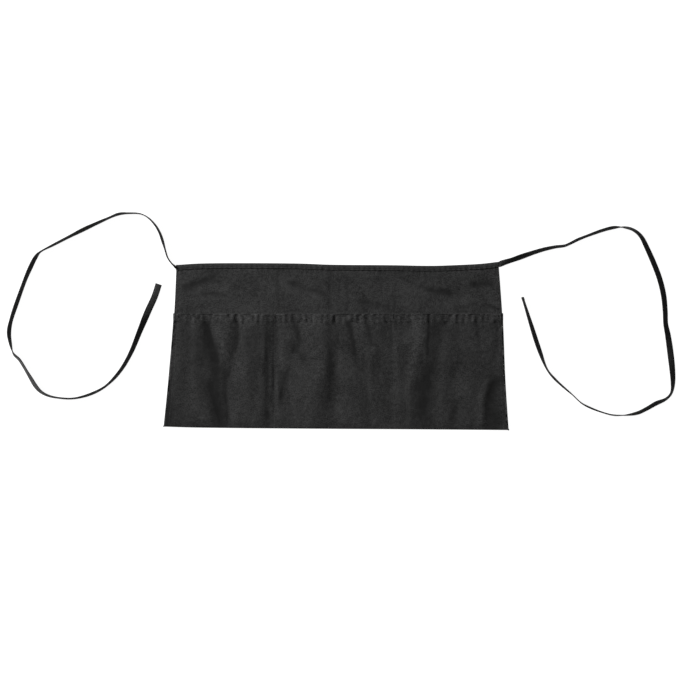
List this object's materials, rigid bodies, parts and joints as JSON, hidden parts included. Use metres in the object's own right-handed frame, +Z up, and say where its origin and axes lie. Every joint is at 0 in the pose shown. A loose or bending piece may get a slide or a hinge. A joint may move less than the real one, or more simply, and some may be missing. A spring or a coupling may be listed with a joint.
{
  "type": "three-pocket waist apron",
  "caption": "Short cloth waist apron with a wide stitched-on pocket panel split into pockets, a bound waist edge and two long loose ties, laid out flat.",
  "frame": {"origin": "under the middle of the apron's length and height, on the surface it lies on, with the ties left out", "axes": "+X along the waistband towards the right-hand tie, +Y from the bottom fold towards the waistband, +Z up through the pockets"},
  "size_m": [1.1911, 0.3833, 0.0167],
  "materials": {
    "twill": "black polyester-cotton twill, matt, with a fine diagonal",
    "hem": "the same twill turned in and topstitched in black",
    "tape": "black folded twill tape, slightly smoother, stitched along its open edge"
  },
  "bodies": {
    "root": {"body_panel": "twill", "pocket_panel": "twill", "pocket_hem": "hem", "side_hem_left": "hem", "side_hem_right": "hem", "waistband": "tape", "tie_left": "tape", "tie_right": "tape"}
  },
  "joints": []
}
